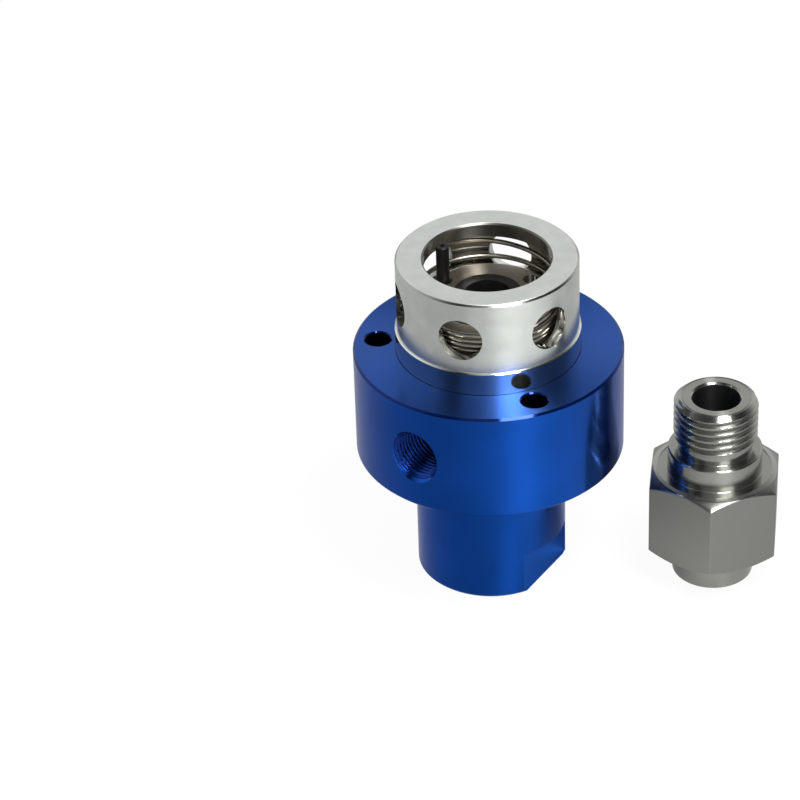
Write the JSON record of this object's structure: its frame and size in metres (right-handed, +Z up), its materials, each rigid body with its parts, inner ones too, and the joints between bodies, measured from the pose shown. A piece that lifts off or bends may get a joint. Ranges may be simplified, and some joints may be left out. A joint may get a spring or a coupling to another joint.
{
  "type": "hydraulic rotary union",
  "caption": "Bearingless rotary union: flanged housing with a windowed cage over a sprung floating seal, and the separate hexagon rotor that screws into a spindle.",
  "frame": {"origin": "centre of the supply port at the foot of the housing's neck", "axes": "+Z up along the housing's axis, +X towards the rotor that stands beside it, +Y away from the viewer"},
  "size_m": [0.0809, 0.051, 0.0683],
  "materials": {
    "blue_anodised": "blue anodised over fine turning",
    "turned_aluminium": "bright turned",
    "blackened_steel": "blackened steel",
    "spring_wire": "drawn stainless wire",
    "bearing_bronze": "machined",
    "stainless": "fine turned stainless steel",
    "ptfe": "smooth, waxy",
    "silicon_carbide": "lapped",
    "nitrile": "matt"
  },
  "bodies": {
    "housing_assembly": {"housing": "blue_anodised", "spring_cage": "turned_aluminium", "anti_rotation_pin": "blackened_steel", "return_spring": "spring_wire", "guide_bush": "bearing_bronze", "gland_snap_ring": "spring_wire", "seal_washer": "stainless", "lip_seal": "ptfe", "lip_seal_expander": "nitrile", "seal_backup_ring": "ptfe"},
    "carrier_assembly": {"seal_carrier": "stainless", "carrier_seal_ring": "silicon_carbide", "carrier_ring_gasket": "nitrile"},
    "rotor_assembly": {"rotor": "stainless", "rotor_seal_ring": "silicon_carbide", "rotor_ring_gasket": "nitrile"}
  },
  "joints": [
    {"name": "carrier_slide", "type": "slide", "parent": "housing_assembly", "child": "carrier_assembly", "axis": [0, 0, 1], "range_m": [0, 0.002], "stiffness_N_per_m": 400, "springref_m": -0.006, "deforming": ["return_spring"]},
    {"name": "rotor_spin", "type": "hinge", "parent": "housing_assembly", "child": "rotor_assembly", "pos_m": [0.04255, -0.00634, 0], "axis": [0, 0, 1], "continuous": true}
  ]
}
